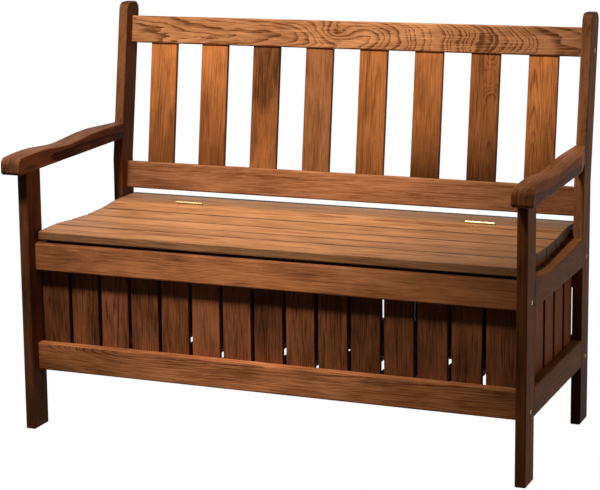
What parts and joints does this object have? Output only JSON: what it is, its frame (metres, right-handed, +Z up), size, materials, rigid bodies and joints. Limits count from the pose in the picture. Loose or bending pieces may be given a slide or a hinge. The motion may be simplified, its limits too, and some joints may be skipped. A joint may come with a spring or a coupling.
{
  "type": "storage bench",
  "caption": "Wooden garden bench with a slatted leaning back, shaped armrests and a slatted seat that is the hinged lid of a boarded storage box.",
  "frame": {"origin": "on the floor, under the middle of the bench's box", "axes": "+X to the right as seen from the front, along the bench; the front faces -Y; +Z up"},
  "size_m": [1.179, 0.601, 0.903],
  "materials": {
    "stained_pine": "planed softwood with a brown stain, satin",
    "hinge_brass": "drawn brass, lightly dulled",
    "bolt_steel": "zinc-plated steel"
  },
  "bodies": {
    "frame": {"armrest_left": "stained_pine", "armrest_right": "stained_pine", "back_lower_rail": "stained_pine", "back_slat_1": "stained_pine", "back_slat_2": "stained_pine", "back_slat_3": "stained_pine", "back_slat_4": "stained_pine", "back_slat_5": "stained_pine", "back_slat_6": "stained_pine", "back_slat_7": "stained_pine", "back_slat_8": "stained_pine", "back_top_rail": "stained_pine", "bolts": "bolt_steel", "floor_batten_front": "stained_pine", "floor_batten_rear": "stained_pine", "floor_boards": "stained_pine", "front_apron": "stained_pine", "front_board_01": "stained_pine", "front_board_02": "stained_pine", "front_board_03": "stained_pine", "front_board_04": "stained_pine", "front_board_05": "stained_pine", "front_board_06": "stained_pine", "front_board_07": "stained_pine", "front_board_08": "stained_pine", "front_board_09": "stained_pine", "front_board_10": "stained_pine", "front_board_11": "stained_pine", "front_board_12": "stained_pine", "front_board_13": "stained_pine", "front_board_14": "stained_pine", "front_board_15": "stained_pine", "front_leg_left": "stained_pine", "front_leg_right": "stained_pine", "front_lower_rail": "stained_pine", "hinge_fixed_leaves": "hinge_brass", "hinge_pins": "hinge_brass", "lower_side_rail_left": "stained_pine", "lower_side_rail_right": "stained_pine", "rear_boards": "stained_pine", "rear_lower_rail": "stained_pine", "rear_post_left": "stained_pine", "rear_post_right": "stained_pine", "rear_seat_rail": "stained_pine", "rear_slat": "stained_pine", "seat_bearer_left": "stained_pine", "seat_bearer_right": "stained_pine", "side_boards_left": "stained_pine", "side_boards_right": "stained_pine", "upper_side_rail_left": "stained_pine", "upper_side_rail_right": "stained_pine"},
    "lid": {"hinge_lid_leaves": "hinge_brass", "lid_batten_1": "stained_pine", "lid_batten_2": "stained_pine", "lid_batten_3": "stained_pine", "lid_slat_1": "stained_pine", "lid_slat_2": "stained_pine", "lid_slat_3": "stained_pine", "lid_slat_4": "stained_pine", "lid_slat_5": "stained_pine"}
  },
  "joints": [
    {"name": "lid_hinge", "type": "hinge", "parent": "frame", "child": "lid", "pos_m": [0, 0.14306, 0.4486], "axis": [-1, 0, 0], "range_deg": [0, 105]}
  ]
}
